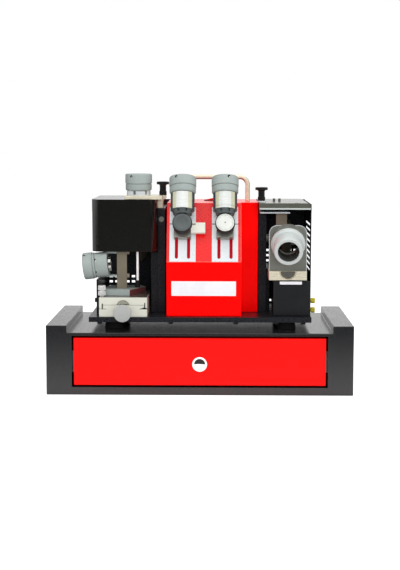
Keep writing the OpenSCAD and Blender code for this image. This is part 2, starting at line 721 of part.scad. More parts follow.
module port_plate() color("#7c817c") difference() {
  union() {
    translate([port_x - port_w / 2, port_y + port_t, plate_port_z0]) rotate([90, 0, 0])
      linear_extrude(port_t) union() {
      square([port_w, port_h - 16]);
      round_rect(port_w, port_h, 16);
    }
    intersection() {
      at_port() translate([0, 0, -30]) cylinder(h = 30 + ring_s0 - fit, d = ring_d);
      span([port_x - 60, port_y - 60, 0], [port_x + 60, port_y, 500]);
    }
  }
  at_port() translate([0, 0, -60]) cylinder(h = 120, d = port_bore);
}

module port_ring() color("#b5bab8") at_port() translate([0, 0, ring_s0]) difference() {
  rotate_extrude() polygon([[port_bore / 2, 0], [ring_d / 2, 0], [ring_d / 2, 3], [sleeve_d / 2 + 1, ring_t],
    [sleeve_d / 2, ring_t], [sleeve_d / 2, ring_t + sleeve_len - 2], [sleeve_d / 2 - 2, ring_t + sleeve_len],
    [port_bore / 2, ring_t + sleeve_len]]);
  span([-2.5, port_bore / 2 - 1, ring_t + sleeve_len - 7], [2.5, port_bore / 2 + 3, ring_t + sleeve_len + 1]);
}

module port_block() color(zinc) difference() {
  union() {
    span([port_x - port_w / 2 + 0.1, port_y - 6, port_z0], [port_x + port_w / 2, port_y + 22, plate_port_z0]);
    span([port_x - port_w / 2 + 0.1, port_y + 22, port_z0], [rib_x1 - 0.4, -10, plate_port_z0]);
  }
  translate([port_x, 0, plate_port_z0]) bar_y(port_y - 2, port_y - 7, 34);
}

module dust_box() color("#222325") difference() {
  union() {
    span([port_x - 25, port_y, dust_z0], [cover_x1 - 2.5, 30, dust_z0 + dust_h]);
    span([dust_x1 - dust_w, port_y - 5, dust_z0], [dust_x1, port_y, dust_z0 + dust_h]);
  }
  span([port_x - 23, port_y + 0.1, dust_z0 + 2], [cover_x1 - 4.5, 28, dust_z0 + dust_h + 1]);
}

module thumb_screws() color("#c9b94a") for (z = [7.5, 26.5]) translate([side_x1, -45, top_z + z]) {
  bar_x(0, 3, 8);
  bar_x(3, 11, 11.5);
}

cabinet_shell();
drawer_box();
drawer_front();
drawer_pull();
runner_outer();
runner_inner();
base_plate();
rubber_feet();
base_screws();
column_left();
column_right();
rear_panel();
power_inlet();
housing();
carry_handle();
switch_body();
switch_rocker();
motor();
motor_cradle();
spindle();
bearings();
wheel_left();
wheel_right();
wheel_nuts();
gauge_plates();
gauge_sockets();
gauge_slide_left();
gauge_slide_right();
gauge_knob_left();
gauge_knob_right();
chuck_body_left();
chuck_cap_left();
chuck_body_right();
chuck_cap_right();
chuck_body_top();
chuck_cap_top();
chuck_body_side();
chuck_cap_side();
slide_base();
slide_knob();
saddle();
gib_strips();
holder_block();
post_bar();
guide_rod();
side_port();
lock_nuts();
side_plate();
wheel_guard();
top_bracket();
top_socket();
feed_knob_left();
top_cover();
side_cover();
feed_knob_right();
port_plate();
port_ring();
port_block();
dust_box();
thumb_screws();
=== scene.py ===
import json
import math

import bmesh
import bpy
from mathutils import Matrix, Vector


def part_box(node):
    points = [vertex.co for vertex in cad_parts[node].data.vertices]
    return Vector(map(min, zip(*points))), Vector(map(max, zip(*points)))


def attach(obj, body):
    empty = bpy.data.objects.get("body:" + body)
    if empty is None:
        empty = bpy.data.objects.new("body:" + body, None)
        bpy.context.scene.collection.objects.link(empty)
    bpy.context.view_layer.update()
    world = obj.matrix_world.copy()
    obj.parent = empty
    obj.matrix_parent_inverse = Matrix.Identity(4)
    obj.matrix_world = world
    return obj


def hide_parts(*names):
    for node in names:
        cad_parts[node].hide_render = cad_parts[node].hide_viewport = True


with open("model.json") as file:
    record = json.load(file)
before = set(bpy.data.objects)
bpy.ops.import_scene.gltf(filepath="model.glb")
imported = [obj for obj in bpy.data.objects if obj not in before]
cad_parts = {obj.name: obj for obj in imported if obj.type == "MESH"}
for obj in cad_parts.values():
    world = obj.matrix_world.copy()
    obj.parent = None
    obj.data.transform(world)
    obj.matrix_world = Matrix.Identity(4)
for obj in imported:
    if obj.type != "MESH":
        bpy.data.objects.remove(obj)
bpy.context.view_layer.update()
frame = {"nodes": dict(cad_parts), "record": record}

# Shapes are in millimetres, and MM turns them into metres. The depths of bumps and the
# places of the camera, lamps and floor are in metres.
MM = 0.001

# ---------------------------------------------------------------- node trees


class Graph:
    """A shader node tree under construction."""

    def __init__(self, tree):
        self.nodes = tree.nodes
        self.links = tree.links

    def add(self, kind, inputs, output, **settings):
        """Adds a node, fills its inputs with values or other outputs, and returns one output."""
        node = self.nodes.new("ShaderNode" + kind)
        for name, value in settings.items():
            setattr(node, name, value)
        for key, value in inputs.items():
            if isinstance(value, bpy.types.NodeSocket):
                self.links.new(value, node.inputs[key])
            else:
                node.inputs[key].default_value = value
        return node.outputs[output]

    def ramp(self, source, low, high, start=0.0, end=1.0):
        """source, mapped from low..high to start..end."""
        return self.add("MapRange", {"Value": source, "From Min": low, "From Max": high,
                                     "To Min": start, "To Max": end}, "Result")

    def math(self, operation, *values):
        return self.add("Math", dict(enumerate(values)), "Value", operation=operation)

    def blend(self, share, first, second, data_type="FLOAT"):
        """first where share is 0, second where it is 1."""
        return self.add("Mix", {"Factor": share, "A": first, "B": second}, "Result",
                        data_type=data_type)

    def seen_directly(self):
        """1 for rays from the camera, also through glass."""
        path = self.nodes.new("ShaderNodeLightPath").outputs
        return self.math("MAXIMUM", path["Is Camera Ray"], path["Is Transmission Ray"])

    def mirrored(self):
        """1 for rays that a glossy surface sends out."""
        return self.nodes.new("ShaderNodeLightPath").outputs["Is Glossy Ray"]


# ---------------------------------------------------------------- finishes


def srgb(red, green, blue):
    """A colour in 0 to 255, as screens encode it, turned into linear light."""
    def linear(value):
        share = value / 255
        return share / 12.92 if share <= 0.04045 else ((share + 0.055) / 1.055) ** 2.4
    return (linear(red), linear(green), linear(blue), 1.0)


class Finish(Graph):
    """A principled material whose colour, roughness and bump come from procedural noise.

    Its colour is given in 0 to 255.
    """

    def __init__(self, colour, roughness, metallic=0.0, specular=0.5):
        self.material = bpy.data.materials.new("finish")
        self.material.use_nodes = True
        super().__init__(self.material.node_tree)
        self.inputs = self.nodes["Principled BSDF"].inputs
        self.base = srgb(*colour)
        self.inputs["Base Color"].default_value = self.base
        self.inputs["Roughness"].default_value = roughness
        self.inputs["Metallic"].default_value = metallic
        self.inputs["Specular IOR Level"].default_value = specular
        self.colour = self.base
        self.roughness = roughness
        self.place = self.nodes.new("ShaderNodeTexCoord").outputs["Object"]

    def scaled(self, share):
        """The base colour, darker or lighter by a share."""
        return tuple(channel * share for channel in self.base[:3]) + (1.0,)

    def noise(self, scale, detail, stretch=(1, 1, 1)):
        """Noise over the object's own coordinates, which stretch multiplies along each axis."""
        place = self.add("Mapping", {"Vector": self.place, "Scale": stretch}, "Vector")
        return self.add("TexNoise", {"Vector": place, "Scale": scale, "Detail": detail,
                                     "Roughness": 0.55}, "Fac")

    def tint(self, source, other, low, high):
        """Blends the colour so far with another where source is high."""
        share = self.ramp(source, low, high)
        self.colour = self.blend(share, self.colour, other, data_type="RGBA")
        self.links.new(self.colour, self.inputs["Base Color"])

    def gloss(self, source, spread):
        """Varies the roughness by spread either way."""
        varied = self.ramp(source, 0.3, 0.7, self.roughness - spread, self.roughness + spread)
        self.links.new(varied, self.inputs["Roughness"])

    def bumped(self, source, depth):
        """Raises the surface by depth metres where source is 1, and returns the material."""
        raised = self.add("Bump", {"Height": source, "Distance": depth, "Strength": 1.0}, "Normal")
        self.links.new(raised, self.inputs["Normal"])
        return self.material


def powder_coat(colour, roughness, grain, depth, mottle=0.86, specular=0.5, speck=None):
    """Textured powder coat: small raised grains over a faintly uneven colour."""
    finish = Finish(colour, roughness, specular=specular)
    finish.tint(finish.noise(scale=26, detail=4), finish.scaled(mottle), low=0.42, high=0.7)
    speck_colour = srgb(*speck) if speck else finish.scaled(1.22)
    finish.tint(finish.noise(scale=grain, detail=2), speck_colour, low=0.52, high=0.8)
    finish.gloss(finish.noise(scale=grain * 0.6, detail=2), spread=0.07)
    return finish.bumped(finish.noise(scale=grain, detail=2.5), depth)


def machined(colour, roughness, marks, metallic=1.0, depth=0.00001, grime=0.8):
    """Metal with a little grime and fine tool marks, drawn out along the axes whose share in
    marks is small."""
    finish = Finish(colour, roughness, metallic)
    scratches = finish.noise(scale=900, detail=2, stretch=marks)
    finish.tint(finish.noise(scale=14, detail=4), finish.scaled(grime), low=0.45, high=0.75)
    finish.gloss(scratches, spread=0.08)
    return finish.bumped(scratches, depth)


def moulded(colour, roughness, grain=700, depth=0.00002, specular=0.5):
    """Moulded plastic with a fine grain."""
    finish = Finish(colour, roughness, specular=specular)
    finish.tint(finish.noise(scale=30, detail=3), finish.scaled(1.12), low=0.45, high=0.75)
    finish.gloss(finish.noise(scale=60, detail=3), spread=0.06)
    return finish.bumped(finish.noise(scale=grain, detail=2), depth)


def gritty(colour):
    """Bonded grit of a grinding wheel."""
    finish = Finish(colour, roughness=0.75)
    finish.tint(finish.noise(scale=1500, detail=2), finish.scaled(2.4), low=0.52, high=0.66)
    return finish.bumped(finish.noise(scale=1400, detail=3), depth=0.00012)


MATERIALS = {
    # Powder coats
    "cabinet_black": powder_coat((25, 26, 28), 0.17, grain=420, depth=0.00005, mottle=0.85,
                                 specular=0.9, speck=(44, 45, 48)),
    "drawer_red": powder_coat((236, 3, 1), 0.34, grain=520, depth=0.0001, mottle=0.9,
                              specular=0.2, speck=(242, 26, 16)),
    "housing_red": powder_coat((255, 2, 1), 0.34, grain=520, depth=0.00006, mottle=0.97,
                               specular=0.06),
    "housing_gloss": powder_coat((228, 2, 1), 0.3, grain=520, depth=0.00006, mottle=0.97,
                                 specular=0.85),
    # Painted highlight: a pinker red for the housing's top faces
    "housing_top": powder_coat((255, 84, 80), 0.24, grain=520, depth=0.00003, mottle=0.97,
                               specular=1.0),
    # Painted highlight for the sloping panel's edges
    "panel_painted_highlight": powder_coat((255, 110, 100), 0.5, grain=520, depth=0.00002, mottle=0.97,
                             specular=0.3),
    # Painted shade: a darker red for the slots of the gauge plates
    "slot_painted_shade": powder_coat((186, 8, 30), 0.4, grain=520, depth=0.00002, mottle=0.9, specular=0.2),
    "machine_black": powder_coat((29, 31, 35), 0.3, grain=560, depth=0.00003, mottle=0.85,
                                 specular=0.45),
    "guard_black": powder_coat((19, 19, 17), 0.16, grain=300, depth=0.00001, mottle=0.9,
                               specular=0.95),
    "cap_grey": powder_coat((146, 155, 152), 0.5, grain=1400, depth=0.00002, mottle=0.9,
                            specular=0.4),
    "motor_grey": powder_coat((70, 72, 75), 0.5, grain=500, depth=0.00006),
    "cover_olive": powder_coat((78, 80, 72), 0.3, grain=700, depth=0.00002, mottle=0.9,
                               specular=0.5),
    # Painted highlight for the top cover's upward faces
    "cover_top_painted_highlight": powder_coat((120, 121, 114), 0.22, grain=700, depth=0.00002, mottle=0.9,
                               specular=1.0),
    # Metals
    "sheet_zinc": machined((176, 180, 182), 0.4, marks=(1, 1, 1)),
    "chrome": machined((236, 236, 232), 0.1, marks=(1, 1, 0.05), depth=0.000001, grime=0.95),
    "bright_chrome": machined((240, 240, 238), 0.15, marks=(1, 1, 0.05), metallic=0.5, grime=0.9),
    "ground_steel": machined((176, 178, 176), 0.34, marks=(0.04, 1, 1), metallic=0.2),
    "ground_mirror": machined((150, 148, 140), 0.24, marks=(0.04, 1, 1), metallic=0.75),
    # Painted reflection of the red housing, for the holder block's right faces
    "block_painted_red_reflection": machined((140, 84, 84), 0.3, marks=(0.04, 1, 1), metallic=0.55),
    "yellow_zinc": machined((236, 228, 204), 0.3, marks=(0.05, 1, 1), metallic=0.35, grime=0.85),
    "brass": machined((214, 200, 60), 0.3, marks=(0.05, 1, 1), metallic=0.6),
    "slide_cream": machined((226, 226, 213), 0.42, marks=(0.05, 1, 1), metallic=0.25,
                            depth=0.00002, grime=0.92),
    # Also painted shade on the carry handle's underside and right faces
    "bar_bronze": machined((146, 138, 120), 0.4, marks=(1, 1, 0.04), metallic=0.4, grime=0.75),
    "gauge_aluminium": machined((226, 232, 235), 0.34, marks=(1, 1, 0.03), metallic=0.35,
                                grime=0.9),
    "port_grey": machined((184, 190, 188), 0.42, marks=(1, 0.05, 0.05), metallic=0.1, grime=0.9),
    "plate_olive": machined((134, 136, 128), 0.36, marks=(1, 0.05, 0.05), metallic=0.45, grime=0.8),
    "bore_grey": machined((120, 120, 116), 0.3, marks=(1, 0.05, 0.05), metallic=0.7, grime=0.8),
    # Painted reflection on the gauge sleeves: a white highlight, olive bands and dark edges
    "sleeve_painted_highlight": machined((208, 211, 208), 0.3, marks=(0.05, 0.05, 1), metallic=0.1, grime=0.95),
    "sleeve_painted_olive_reflection": machined((190, 190, 162), 0.3, marks=(0.05, 0.05, 1), metallic=0.1, grime=0.9),
    "sleeve_painted_dark_reflection": machined((70, 78, 88), 0.3, marks=(0.05, 0.05, 1), metallic=0.3, grime=0.8),
    # Plastics, rubber and paint
    "knob_dark": moulded((78, 84, 84), 0.4, specular=0.4),
    "knob_black": moulded((26, 26, 27), 0.42, specular=0.3),
    "switch_red": moulded((226, 16, 18), 0.3),
    "rubber": moulded((20, 20, 20), 0.75, grain=500, depth=0.00005, specular=0.2),
    "dust_black": moulded((30, 31, 33), 0.36, grain=500, depth=0.00003, specular=0.35),
    # Painted shade for the upper half of the drawer pull's dish
    "dish_painted_shade": moulded((20, 20, 20), 0.18),
    "plate_white": moulded((222, 221, 226), 0.4, depth=0.000005),
    "dial_white": moulded((200, 203, 197), 0.4, depth=0.000005),
    # Painted highlight: white for bright metal on the guide rod, the drawer pull and the chuck
    # caps' pins
    "white_painted_highlight": moulded((250, 252, 250), 0.25, depth=0.000005),
    "wheel_grit": gritty((44, 42, 34)),
}
for finish_name, material in MATERIALS.items():
    material.name = finish_name

# The record's slot of each finish that the record doesn't name itself
SLOT_OF = {part["node"]: part["material_slot"] for part in frame["record"]["subparts"]}
BODY_OF = {node: body for body, nodes in frame["record"]["behaviour"]["bodies"].items()
           for node in nodes}

for node_name, node_object in frame["nodes"].items():
    node_object.data.materials.clear()
    node_object.data.materials.append(MATERIALS[SLOT_OF[node_name]])

# ---------------------------------------------------------------- places

BASE_TOP = 148.0                    # top of the base plate
FEED_Z = BASE_TOP + 203             # top of the right column's feed plate
COVER_TOP = BASE_TOP + 224
GAUGE_X = {"left": -35, "right": 49}
PANEL_LEAN = math.radians(20)
PANEL_UP = Vector((0, math.sin(PANEL_LEAN), math.cos(PANEL_LEAN)))
PANEL_OUT = Vector((0, -math.cos(PANEL_LEAN), math.sin(PANEL_LEAN)))
PANEL_FOOT = Vector((0, -90, BASE_TOP + 108))
TOWARDS = Vector((0, -1, 0))        # the front, where the user stands
ACROSS = Vector((1, 0, 0))
UP = Vector((0, 0, 1))


def frame_at(origin, along, side=ACROSS):
    """A matrix whose Z runs along a direction, and whose X is as near side as it can be."""
    z = Vector(along).normalized()
    x = Vector(side)
    x = (x - z * x.dot(z)).normalized()
    rotation = Matrix((x, z.cross(x), z)).transposed().to_4x4()
    return Matrix.Translation(Vector(origin)) @ rotation


def turn_z(degrees):
    return Matrix.Rotation(math.radians(degrees), 4, "Z")


def panel_point(x, out, up):
    """A point over the sloping panel: x across, out of it and up along it."""
    return PANEL_FOOT + ACROSS * x + PANEL_OUT * out + PANEL_UP * up


def on_panel(x, out, up):
    """X across the panel, Y up along it, Z out of it."""
    return frame_at(panel_point(x, out, up), PANEL_OUT)


def facing(x, y, z):
    """X across, Y up, Z towards the front."""
    return frame_at((x, y, z), TOWARDS)


def standing(x, y, z):
    """X across, Y towards the back, Z up."""
    return frame_at((x, y, z), UP)


# ---------------------------------------------------------------- shapes


def circle_point(radius, turn, height=0.0):
    return Vector((radius * math.cos(turn), radius * math.sin(turn), height))


def full_turn(steps):
    """The angles of a circle's points."""
    return [2 * math.pi * step / steps for step in range(steps)]


def quarter_turn(start=0, steps=8):
    """The angles of a quarter circle's points, from a start counted in quarters."""
    return [math.pi / 2 * (start + step / steps) for step in range(steps + 1)]


def rectangle(x0, x1, y0, y1):
    return [(x0, y0), (x1, y0), (x1, y1), (x0, y1)]


def rounded_rectangle(width, height, radius):
    points = []
    for corner, (sign_x, sign_y) in enumerate([(1, 1), (-1, 1), (-1, -1), (1, -1)]):
        for turn in quarter_turn(corner, steps=5):
            points.append((sign_x * (width / 2 - radius) + radius * math.cos(turn),
                           sign_y * (height / 2 - radius) + radius * math.sin(turn)))
    return points


def regular_outline(sides, radius):
    return [circle_point(radius, turn).xy for turn in full_turn(sides)]


def knurled_outline(radius, depth, teeth):
    """A knurled nut's outline: a tooth and a gap by turns."""
    return [circle_point(radius - (depth if step % 2 else 0), math.pi * step / teeth).xy
            for step in range(2 * teeth)]


def shade(piece, angle):
    """Smooth shading with edges sharper than angle degrees kept."""
    for polygon in piece.data.polygons:
        polygon.use_smooth = True
    piece.data.set_sharp_from_angle(angle=math.radians(angle))


SHARP = 35      # degrees


class Shape:
    """Solids and faces in millimetres that together make one piece."""

    def __init__(self):
        self.bm = bmesh.new()

    def loop(self, points):
        return [self.bm.verts.new(point) for point in points]

    def join(self, loops):
        """Faces between each closed loop of vertices and the next."""
        for low, high in zip(loops, loops[1:]):
            for index in range(len(low)):
                after = (index + 1) % len(low)
                self.bm.faces.new([low[index], low[after], high[after], high[index]])

    def turned(self, profile, steps, place):
        """Adds a turned solid: profile lists (radius, height) and runs round Z of place."""
        rings = []
        for radius, height in profile:
            turns = full_turn(steps) if radius > 1e-6 else [0]
            rings.append(self.loop(place @ circle_point(radius, turn, height) for turn in turns))
        for low, high in zip(rings, rings[1:]):
            for step in range(steps):
                after = (step + 1) % steps
                corners = [low[step % len(low)], low[after % len(low)],
                           high[after % len(high)], high[step % len(high)]]
                unique = list(dict.fromkeys(corners))
                if len(unique) > 2:
                    self.bm.faces.new(unique)
        return self

    def prism(self, outline, low, high, place, taper=0.0):
        """Adds a prism of an outline of (x, y) points, from low to high along Z of place."""
        centre = Vector((sum(p[0] for p in outline), sum(p[1] for p in outline))) / len(outline)

        def level(height, inset):
            moved = []
            for point in outline:
                shift = (centre - Vector(point)).normalized() * inset
                moved.append(place @ Vector((point[0] + shift.x, point[1] + shift.y, height)))
            return self.loop(moved)

        shoulder = [level(high - taper, 0)] if taper else []
        levels = [level(low, 0)] + shoulder + [level(high, taper)]
        self.bm.faces.new(list(reversed(levels[0])))
        self.bm.faces.new(levels[-1])
        self.join(levels)
        return self

    def socket_screw(self, place, radius, height):
        """Adds a cap screw whose head stands on Z = 0 of place, with a hexagon socket."""
        rim_r, steps = radius * 0.62, 28
        self.turned([(0, 0), (radius, 0), (radius, height - 0.5), (radius - 0.5, height),
                     (rim_r, height)], steps, place)
        hexagon = regular_outline(6, radius * 0.55)
        outer = self.loop(place @ Vector((x, y, height)) for x, y in regular_outline(steps, rim_r))
        inner = self.loop(place @ Vector((x, y, height)) for x, y in hexagon)
        floor = self.loop(place @ Vector((x, y, height - radius * 0.6)) for x, y in hexagon)
        for step in range(steps):
            after = (step + 1) % steps
            near = round(step * 6 / steps) % 6
            near_after = round(after * 6 / steps) % 6
            corners = [outer[step], outer[after], inner[near_after]]
            if near != near_after:
                corners.append(inner[near])
            self.bm.faces.new(corners)
        self.join([inner, floor])
        self.bm.faces.new(floor)
        return self

    def merged(self):
        """Joins the points that lie within a micrometre of each other."""
        bmesh.ops.remove_doubles(self.bm, verts=self.bm.verts, dist=0.001)
        return self

    def piece(self, name, material, body, replaces=None, sharp=SHARP):
        """Puts the shape in the scene as a piece that rides on a body."""
        bmesh.ops.scale(self.bm, vec=(MM, MM, MM), verts=self.bm.verts)
        bmesh.ops.recalc_face_normals(self.bm, faces=self.bm.faces)
        piece = placed(self.bm, name, material, sharp)
        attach(piece, body)
        if replaces:
            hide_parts(replaces)
        return piece


def placed(bm, name, material, sharp=SHARP):
    """Makes an object of a bmesh in metres, and frees the bmesh."""
    mesh = bpy.data.meshes.new(name)
    bm.to_mesh(mesh)
    bm.free()
    piece = bpy.data.objects.new(name, mesh)
    bpy.context.collection.objects.link(piece)
    mesh.materials.append(MATERIALS[material])
    shade(piece, sharp)
    return piece


def paint(piece, material, test=lambda at, normal: True):
    """Gives a material to the faces for which test(centre, normal), in millimetres, holds."""
    materials = piece.data.materials
    name = MATERIALS[material].name
    if name not in materials:
        materials.append(MATERIALS[material])
    index = materials.find(name)
    for polygon in piece.data.polygons:
        if test(polygon.center / MM, polygon.normal):
            polygon.material_index = index


# ---------------------------------------------------------------- CAD nodes with rounded edges


def rounded_copy(node, width):
    """A copy of a CAD node with its edges rounded by width, which stands for it."""
    bm = bmesh.new()
    bm.from_mesh(frame["nodes"][node].data)
    bmesh.ops.remove_doubles(bm, verts=bm.verts, dist=0.002 * MM)
    bmesh.ops.dissolve_limit(bm, angle_limit=math.radians(0.6), verts=bm.verts, edges=bm.edges,
                             use_dissolve_boundaries=False)
    piece = placed(bm, node + "_finished", SLOT_OF[node])
    bevel = piece.modifiers.new("edges", "BEVEL")
    bevel.width = width * MM
    bevel.segments = 2
    bevel.limit_method = "ANGLE"
    bevel.angle_limit = math.radians(32)
    bevel.harden_normals = True
    bevel.miter_outer = "MITER_ARC"
    weighted = piece.modifiers.new("normals", "WEIGHTED_NORMAL")
    weighted.keep_sharp = True
    weighted.weight = 100
    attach(piece, BODY_OF[node])
    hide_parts(node)
    return piece


ROUNDING = {
    "cabinet_shell": 1.2, "drawer_front": 1.6, "drawer_box": 0.5, "base_plate": 0.9,
    "rubber_feet": 0.8, "base_screws": 0.4, "column_left": 0.8, "column_right": 0.8,
    "rear_panel": 0.4, "power_inlet": 0.4, "housing": 1.6, "carry_handle": 0.6,
    "switch_body": 0.9, "switch_rocker": 0.5, "motor": 1.5, "motor_cradle": 0.6,
    "gauge_plates": 0.7, "gauge_sockets": 0.6, "gauge_slide_left": 0.6,
    "gauge_slide_right": 0.6, "chuck_body_left": 0.5, "chuck_body_right": 0.5,
    "chuck_body_top": 0.5, "chuck_body_side": 0.5, "slide_base": 0.7, "slide_knob": 0.8,
    "saddle": 0.7, "gib_strips": 0.3, "holder_block": 0.8, "post_bar": 0.4,
    "guide_rod": 0.4, "side_port": 0.6, "side_plate": 0.5, "wheel_guard": 1.2,
    "top_bracket": 0.6, "top_socket": 0.6, "feed_knob_left": 0.5, "side_cover": 0.3,
    "feed_knob_right": 0.5, "port_block": 0.6, "dust_box": 1.2,
}
dressed = {node: rounded_copy(node, width) for node, width in ROUNDING.items()}


def height_on_panel(point):
    return (point - PANEL_FOOT).dot(PANEL_UP)


STOP_X = GAUGE_X["left"] + 17       # side of the left slide where its white block begins
SOCKET_FOOT = 98.5                  # top of the sockets' dark feet, up along the panel
ROD_FOOT = BASE_TOP + 65.5          # top of the guide rod's black foot
SADDLE_GROUND = BASE_TOP + 38       # the saddle's upper faces lie above it
for node, material, test in (
        ("column_right", "gauge_aluminium", lambda at, normal: at.z > FEED_Z - 0.5 and at.y < -30),
        ("column_right", "bar_bronze",
         lambda at, normal: 151 < at.x < 175 and at.z < FEED_Z and at.y < -29),
        ("housing", "housing_gloss", lambda at, normal: normal.z > 0.2),
        # Painted highlight: pinker red on the housing's upward faces
        ("housing", "housing_top", lambda at, normal: normal.z > 0.9),
        # Painted shade: the carry handle's underside and right-facing faces in darker bronze
        ("carry_handle", "bar_bronze", lambda at, normal: normal.z < -0.3 or normal.x > 0.75),
        # Painted reflection on the sleeves, by the way each face looks: white to the front, olive
        # to the sides, dark at the edges
        ("gauge_sockets", "sleeve_painted_highlight", lambda at, normal: normal.y < 0),
        ("gauge_sockets", "sleeve_painted_olive_reflection", lambda at, normal: normal.y < 0 and abs(normal.x) > 0.5),
        ("gauge_sockets", "sleeve_painted_dark_reflection", lambda at, normal: abs(normal.x) > 0.8),
        ("gauge_sockets", "knob_dark", lambda at, normal: height_on_panel(at) < SOCKET_FOOT),
        # Painted highlight: the guide rod's bright metal in white above its foot
        ("guide_rod", "white_painted_highlight", lambda at, normal: at.z >= ROD_FOOT),
        ("guide_rod", "knob_black", lambda at, normal: at.z < ROD_FOOT),
        # Painted reflection: reddish steel on the holder block's faces towards the housing
        ("holder_block", "block_painted_red_reflection", lambda at, normal: normal.x > 0.5),
        ("saddle", "ground_mirror", lambda at, normal: normal.z > 0.9 and at.z > SADDLE_GROUND),
        ("gauge_slide_left", "ground_mirror", lambda at, normal: at.x < STOP_X - 0.1),
        ("gauge_slide_left", "slide_cream", lambda at, normal: at.x > STOP_X + 0.1)):
    paint(dressed[node], material, test)
paint(dressed["top_socket"], "gauge_aluminium")
paint(dressed["gauge_slide_right"], "ground_mirror")


def fuller_corners(piece, old, new):
    """Moves a box's two front corners, rounded by old, onto a rounding of new."""
    points = [corner.co / MM for corner in piece.data.vertices]
    left, right = min(at.x for at in points), max(at.x for at in points)
    front = min(at.y for at in points)
    for corner, at in zip(piece.data.vertices, points):
        for edge, inward in ((left, 1), (right, -1)):
            away = Vector((at.x - (edge + inward * old), at.y - (front + old)))
            if away.x * inward <= 0.01 and away.y <= 0.01:
                grown = away.normalized() * (away.length + new - old)
                corner.co.x = (edge + inward * new + grown.x) * MM
                corner.co.y = (front + new + grown.y) * MM
                break


fuller_corners(dressed["wheel_guard"], old=12, new=22)

# ---------------------------------------------------------------- bare plates


def plate(name, material, body, place, width, height, thickness=0.8, radius=1.0):
    """A flat plate with round corners that stands on a face."""
    outline = rounded_rectangle(width, height, radius)
    Shape().prism(outline, 0, thickness, place, taper=0.2).piece(name, material, body)


plate("blank_plate", "plate_white", "frame", facing(7, -90, 203.5), width=128, height=29)
plate("dust_box_label", "plate_white", "dust_drawer", facing(180, -82, 214.2),
      width=44, height=5.9, radius=0.5)
# Painted highlight: a light strip along the cover's bent lower lip
plate("cover_lip_highlight", "port_grey", "frame", facing(167.8, -77, 361),
      width=101, height=3.0, thickness=0.3, radius=0.4)

# ---------------------------------------------------------------- gauges

KNOB_UP = 69.5                      # of the knobs' axes along the panel
KNOB_FACE = 43.0                    # of their faces out of the panel
KNOB_R = 19.3
HUB_R, BORE_END = 4.3, -8.4         # the knob's bore sits over the slide's stem
NECK_R, NECK_END = 8, -15           # the knob's neck reaches from its back to here
KNOB_BACK = -20.8
knob_face = {side: on_panel(x, KNOB_FACE, KNOB_UP) for side, x in GAUGE_X.items()}

for side, place in knob_face.items():
    Shape().turned(
        [(HUB_R, KNOB_BACK), (NECK_R, KNOB_BACK), (NECK_R, NECK_END), (KNOB_R - 1, NECK_END),
         (KNOB_R, NECK_END + 1), (KNOB_R, -1.2), (KNOB_R - 0.6, -0.3), (KNOB_R - 1.4, 0),
         (0, 0)], 72, place
    ).turned(
        [(HUB_R, KNOB_BACK), (HUB_R, BORE_END), (0, BORE_END)], 72, place
    ).piece(f"gauge_knob_{side}_turned", "knob_black", f"dial_{side}",
            replaces=f"gauge_knob_{side}")

Shape().turned(
    [(0, 0.5), (1.8, 0.5), (2.4, 0.02), (10.4, 0.1), (11, 0.5), (17.2, 0.5), (18, 0)],
    64, knob_face["left"]).piece("left_knob_rings", "knob_dark", "dial_left")
Shape().turned(
    [(0, 0.5), (12.6, 0.5), (12.8, 0.3), (13.3, 0.3), (13.5, 0.5), (17.2, 0.5), (17.7, 0), (0, 0)],
    64, knob_face["right"]).piece("dial_face", "dial_white", "dial_right")

TICKS = 40
marks = Shape()
for index in range(TICKS):
    start = 13.0 if index % 5 == 0 else 14.6
    marks.prism(rectangle(start, 16.4, -0.25, 0.25), 0, 0.62,
                knob_face["right"] @ turn_z(360 * index / TICKS))
marks.turned([(0, 1.0), (1.1, 1.0), (1.3, 0.6), (0, 0.6)], 20, knob_face["right"])
marks.piece("dial_marks", "motor_grey", "dial_right")

for side, x in GAUGE_X.items():
    across = frame_at(panel_point(x, 21, KNOB_UP + 3), ACROSS, PANEL_UP)
    Shape().turned([(0, -26), (0.8, -26), (0.8, 26), (0, 26)], 12, across).piece(
        f"{side}_cross_pin", "knob_black", f"gauge_{side}")

# The slots of the gauge plates in painted shade: a darker red floor that shows through them, and
# darker red edges along them
SLOTS = (-12, 12)                   # across, from the middle of a plate
SLOT_HALF = 2.75
FLOOR_HALF, FLOOR_UP = 2.7, (6.4, 83.6)
EDGE_HALF, EDGE_UP = 0.45, (8, 84)
PLATE_THICK = 4.0
for side, x in GAUGE_X.items():
    floors, edges = Shape(), Shape()
    for middle in [x + offset for offset in SLOTS]:
        floors.prism(rectangle(middle - FLOOR_HALF, middle + FLOOR_HALF, *FLOOR_UP), 0, 0.3,
                     on_panel(0, 0.02, 0))
        for edge in (middle - SLOT_HALF, middle + SLOT_HALF):
            edges.prism(rectangle(edge - EDGE_HALF, edge + EDGE_HALF, *EDGE_UP), 0, 0.06,
                        on_panel(0, PLATE_THICK, 0))
    floors.piece(f"{side}_slot_floor_shade", "slot_painted_shade", "frame")
    edges.piece(f"{side}_slot_edge_shade", "slot_painted_shade", "frame")

# Marks on the sleeve of the right gauge
MARK_SUNK, MARK_OUT = 0.3, 0.12     # how far a mark reaches into a round face and out of it
SLEEVE_R = 23.8
sleeve_foot = frame_at(panel_point(GAUGE_X["right"], 28, 101.5), PANEL_UP, PANEL_OUT)
marks = Shape()
for index in range(-9, 10):
    marks.prism(rectangle(SLEEVE_R - MARK_SUNK, SLEEVE_R + MARK_OUT, -0.2, 0.2), 0,
                4.5 if index % 3 == 0 else 2.6, sleeve_foot @ turn_z(6 * index))
marks.piece("sleeve_marks", "motor_grey", "frame")

# ---------------------------------------------------------------- drill port

